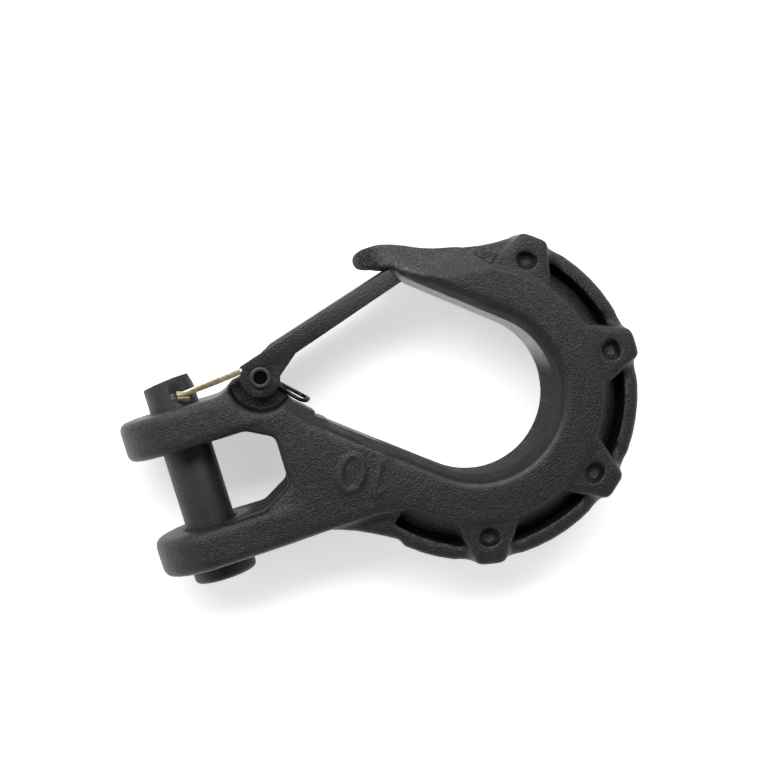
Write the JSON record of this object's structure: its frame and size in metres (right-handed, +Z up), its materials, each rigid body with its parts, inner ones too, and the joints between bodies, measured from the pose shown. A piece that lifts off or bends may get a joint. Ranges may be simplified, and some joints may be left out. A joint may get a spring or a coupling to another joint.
{
  "type": "clevis slip hook with safety latch",
  "caption": "Forged steel clevis slip hook for chain, with a sprung safety latch across the throat and a headed clevis pin held by a split pin.",
  "frame": {"origin": "under the middle of the hook's outline, on the surface that it lies on", "axes": "+X from the clevis to the bowl, +Y from the clevis centre towards the latch, +Z up through the thickness of the forging"},
  "size_m": [0.1329, 0.0873, 0.03],
  "materials": {
    "forged_black": "satin black coat over a grained forged surface",
    "pin_black": "smooth semi-gloss black",
    "latch_black": "satin black coat on pressed sheet steel",
    "rivet_steel": "blackened steel with a bright worn rim",
    "spring_steel": "dark oiled spring wire",
    "zinc_yellow": "pale yellow zinc plate"
  },
  "bodies": {
    "hook": {"hook_body": "forged_black", "latch_rivet": "rivet_steel", "latch_spring": "spring_steel"},
    "latch": {"latch": "latch_black"},
    "clevis_pin": {"clevis_pin": "pin_black", "split_pin": "zinc_yellow"}
  },
  "joints": [
    {"name": "latch_hinge", "type": "hinge", "parent": "hook", "child": "latch", "pos_m": [-0.0284, 0.01985, 0.015], "axis": [0, 0, 1], "range_deg": [-50, 0], "stiffness_Nm_per_rad": 0.05, "springref_deg": 28.65, "deforming": ["latch_spring"]},
    {"name": "pin_turn", "type": "hinge", "parent": "hook", "child": "clevis_pin", "pos_m": [-0.0514, -0.00125, 0.015], "axis": [0, 1, 0], "range_deg": [-310, 0]}
  ]
}
